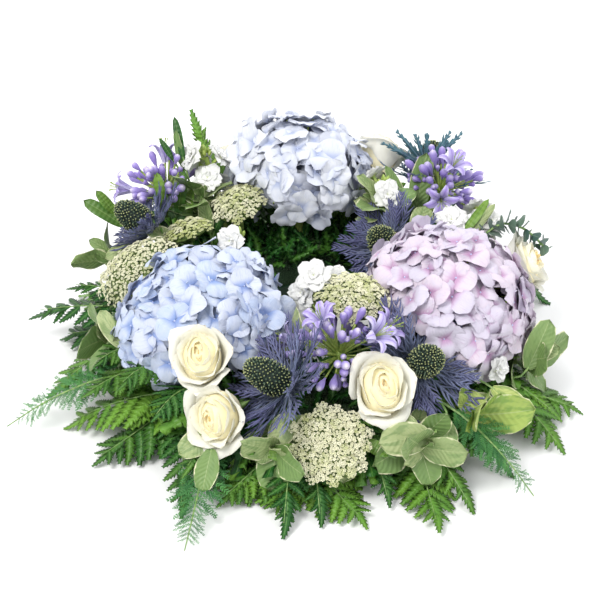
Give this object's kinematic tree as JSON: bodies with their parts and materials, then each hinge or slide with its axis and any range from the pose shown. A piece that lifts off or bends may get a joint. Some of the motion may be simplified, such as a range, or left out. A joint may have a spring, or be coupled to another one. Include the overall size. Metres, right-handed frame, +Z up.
{
  "type": "flower wreath",
  "caption": "Round flower wreath on a foam ring in a shallow tray, with hydrangeas, roses, thistles, agapanthus, umbels, leaves and arching fern fronds.",
  "frame": {"origin": "middle of the outline on the surface that the tray stands on", "axes": "+Z up out of the tray, -Y towards the front of the picture, +X to its right"},
  "size_m": [0.4914, 0.49, 0.1658],
  "materials": {
    "agapanthus": "satin violet-blue",
    "asparagus": "feathery green",
    "eucalyptus": "dusty blue-green",
    "fern": "leathery dark green",
    "foam": "open-celled floral foam",
    "green_stem": "satin green",
    "hydrangea_blue": "soft matt petals, powder blue",
    "hydrangea_pale": "soft matt petals, pale blue-white",
    "hydrangea_pink": "soft matt petals, lilac pink",
    "leaf": "satin green with pale margins",
    "rose_petals": "satin cream petals",
    "stock": "matt white petals",
    "thistle_bract": "stiff dusty violet-blue",
    "thistle_cone": "bristly dark green",
    "tray": "matt moulded green",
    "umbel": "lacy cream"
  },
  "bodies": {
    "root": {"agapanthus_1": "agapanthus", "agapanthus_2": "agapanthus", "agapanthus_3": "agapanthus", "asparagus_1": "asparagus", "asparagus_2": "asparagus", "asparagus_3": "asparagus", "eucalyptus": "eucalyptus", "fern_1": "fern", "fern_2": "fern", "fern_3": "fern", "fern_4": "fern", "fern_5": "fern", "fern_6": "fern", "fern_7": "fern", "foam_ring": "foam", "hydrangea_blue": "hydrangea_blue", "hydrangea_pale": "hydrangea_pale", "hydrangea_pink": "hydrangea_pink", "leaves_1": "leaf", "leaves_2": "leaf", "leaves_3": "leaf", "leaves_4": "leaf", "leaves_5": "leaf", "leaves_6": "leaf", "leaves_7": "leaf", "leaves_8": "leaf", "rose_1": "rose_petals", "rose_1_stem": "green_stem", "rose_2": "rose_petals", "rose_2_stem": "green_stem", "rose_3": "rose_petals", "rose_3_stem": "green_stem", "rose_4": "rose_petals", "rose_4_stem": "green_stem", "rose_5": "rose_petals", "rose_5_stem": "green_stem", "rose_6": "rose_petals", "rose_6_stem": "green_stem", "stock_1": "stock", "stock_2": "stock", "stock_3": "stock", "stock_4": "stock", "stock_5": "stock", "thistle_1": "thistle_bract", "thistle_1_cone": "thistle_cone", "thistle_2": "thistle_bract", "thistle_2_cone": "thistle_cone", "thistle_3": "thistle_bract", "thistle_3_cone": "thistle_cone", "thistle_4": "thistle_bract", "thistle_4_cone": "thistle_cone", "thistle_5": "thistle_bract", "thistle_5_cone": "thistle_cone", "tray": "tray", "umbel_1": "umbel", "umbel_2": "umbel", "umbel_3": "umbel", "umbel_4": "umbel", "umbel_5": "umbel", "umbel_6": "umbel"}
  },
  "joints": []
}
